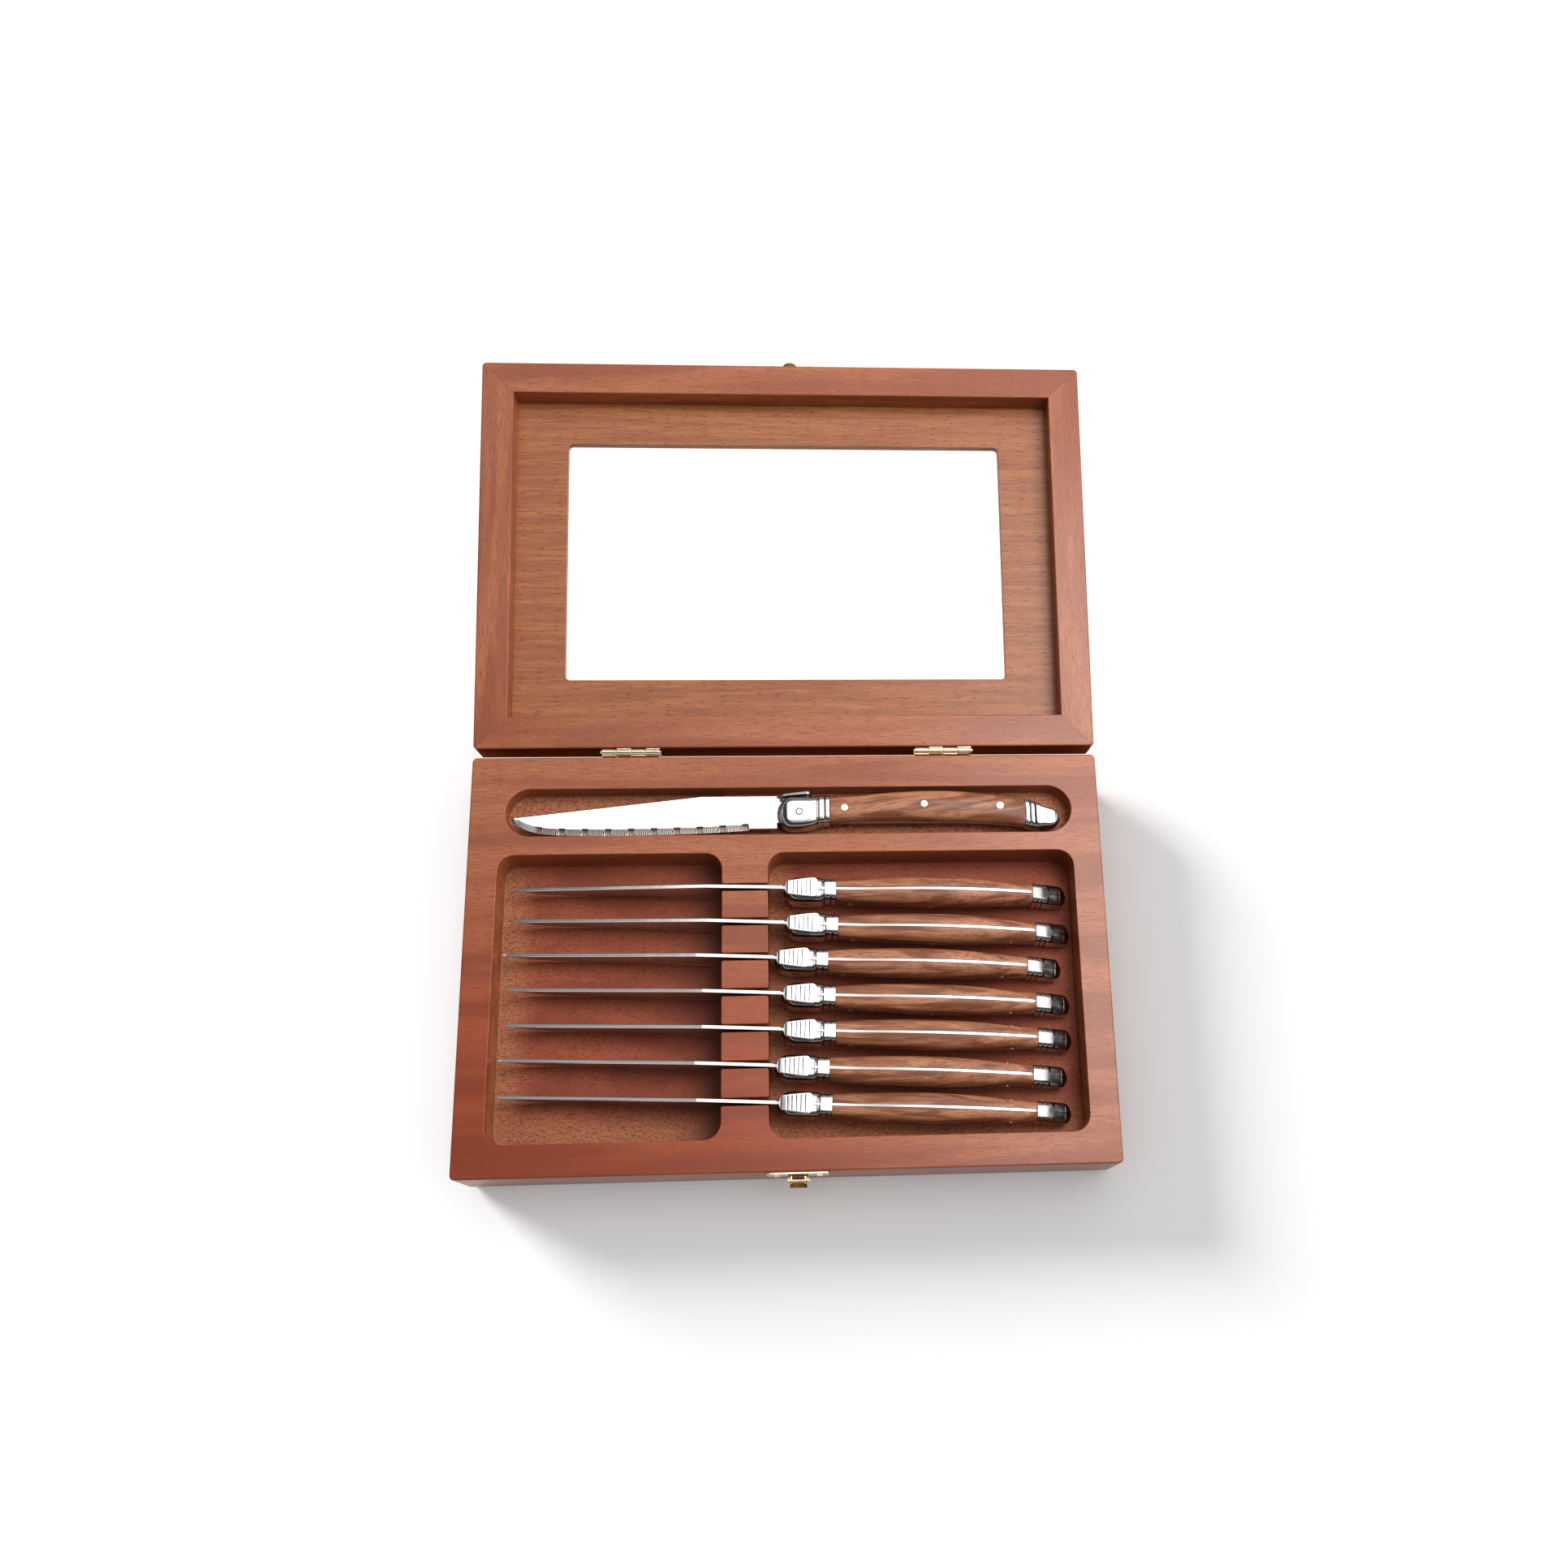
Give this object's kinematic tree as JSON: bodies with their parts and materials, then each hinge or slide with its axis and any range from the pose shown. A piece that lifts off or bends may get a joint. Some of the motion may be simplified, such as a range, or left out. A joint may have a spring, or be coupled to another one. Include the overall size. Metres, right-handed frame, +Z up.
{
  "type": "knife display case",
  "caption": "Wooden display case with a hinged glazed lid and a brass latch, its tray cut with pockets and slots that hold a set of steak knives.",
  "frame": {"origin": "on the surface that the case stands on, under the middle of the tray", "axes": "+Z up, +Y from the latch at the front to the hinges at the back, +X to the viewer's right, where the knives' handles lie"},
  "size_m": [0.267, 0.3653, 0.0538],
  "materials": {
    "tray_wood": "reddish-brown stained beech, satin varnish",
    "base_board": "plain thin board, matte",
    "lid_wood": "reddish-brown stained beech, satin varnish",
    "panel_wood": "open-grained veneered board, satin varnish",
    "pane_glass": "clear and polished",
    "brass": "thin polished sheet",
    "blade_steel": "mirror-polished stainless steel",
    "bolster_steel": "mirror-polished stainless steel",
    "handle_wood": "grained reddish-brown hardwood, oiled and buffed"
  },
  "bodies": {
    "tray": {"tray_body": "tray_wood", "base_panel": "base_board", "hinge_left_tray_leaf": "brass", "hinge_left_pin": "brass", "hinge_right_tray_leaf": "brass", "hinge_right_pin": "brass", "latch_plate": "brass", "latch_pin": "brass", "latch_screw_left": "brass", "latch_screw_right": "brass"},
    "lid": {"lid_rail_front": "lid_wood", "lid_rail_rear": "lid_wood", "lid_rail_left": "lid_wood", "lid_rail_right": "lid_wood", "lid_panel": "panel_wood", "window_pane": "pane_glass", "lid_catch": "brass", "hinge_left_lid_leaf": "brass", "hinge_right_lid_leaf": "brass"},
    "latch": {"latch_flap": "brass"},
    "knife_1": {"knife_1_blade": "blade_steel", "knife_1_bolster": "bolster_steel", "knife_1_scale_left": "handle_wood", "knife_1_scale_right": "handle_wood", "knife_1_end_cap": "bolster_steel"},
    "knife_2": {"knife_2_blade": "blade_steel", "knife_2_bolster": "bolster_steel", "knife_2_scale_left": "handle_wood", "knife_2_scale_right": "handle_wood", "knife_2_end_cap": "bolster_steel"},
    "knife_3": {"knife_3_blade": "blade_steel", "knife_3_bolster": "bolster_steel", "knife_3_scale_left": "handle_wood", "knife_3_scale_right": "handle_wood", "knife_3_end_cap": "bolster_steel"},
    "knife_4": {"knife_4_blade": "blade_steel", "knife_4_bolster": "bolster_steel", "knife_4_scale_left": "handle_wood", "knife_4_scale_right": "handle_wood", "knife_4_end_cap": "bolster_steel"},
    "knife_5": {"knife_5_blade": "blade_steel", "knife_5_bolster": "bolster_steel", "knife_5_scale_left": "handle_wood", "knife_5_scale_right": "handle_wood", "knife_5_end_cap": "bolster_steel"},
    "knife_6": {"knife_6_blade": "blade_steel", "knife_6_bolster": "bolster_steel", "knife_6_scale_left": "handle_wood", "knife_6_scale_right": "handle_wood", "knife_6_end_cap": "bolster_steel"},
    "knife_7": {"knife_7_blade": "blade_steel", "knife_7_bolster": "bolster_steel", "knife_7_scale_left": "handle_wood", "knife_7_scale_right": "handle_wood", "knife_7_end_cap": "bolster_steel"},
    "knife_8": {"knife_8_blade": "blade_steel", "knife_8_bolster": "bolster_steel", "knife_8_scale_left": "handle_wood", "knife_8_scale_right": "handle_wood", "knife_8_end_cap": "bolster_steel"}
  },
  "joints": [
    {"name": "lid_hinge", "type": "hinge", "parent": "tray", "child": "lid", "pos_m": [0, 0.0905, 0.03215], "axis": [-1, 0, 0], "range_deg": [-173, 0]},
    {"name": "latch_pivot", "type": "hinge", "parent": "tray", "child": "latch", "pos_m": [0.0025, -0.0916, 0.0275], "axis": [1, 0, 0], "range_deg": [-180, 0]},
    {"name": "knife_1_lift", "type": "slide", "parent": "tray", "child": "knife_1", "axis": [0, 0, 1], "range_m": [0, 0.045]},
    {"name": "knife_2_lift", "type": "slide", "parent": "tray", "child": "knife_2", "axis": [0, 0, 1], "range_m": [0, 0.045]},
    {"name": "knife_3_lift", "type": "slide", "parent": "tray", "child": "knife_3", "axis": [0, 0, 1], "range_m": [0, 0.045]},
    {"name": "knife_4_lift", "type": "slide", "parent": "tray", "child": "knife_4", "axis": [0, 0, 1], "range_m": [0, 0.045]},
    {"name": "knife_5_lift", "type": "slide", "parent": "tray", "child": "knife_5", "axis": [0, 0, 1], "range_m": [0, 0.045]},
    {"name": "knife_6_lift", "type": "slide", "parent": "tray", "child": "knife_6", "axis": [0, 0, 1], "range_m": [0, 0.045]},
    {"name": "knife_7_lift", "type": "slide", "parent": "tray", "child": "knife_7", "axis": [0, 0, 1], "range_m": [0, 0.045]},
    {"name": "knife_8_lift", "type": "slide", "parent": "tray", "child": "knife_8", "axis": [0, 0, 1], "range_m": [0, 0.045]}
  ]
}
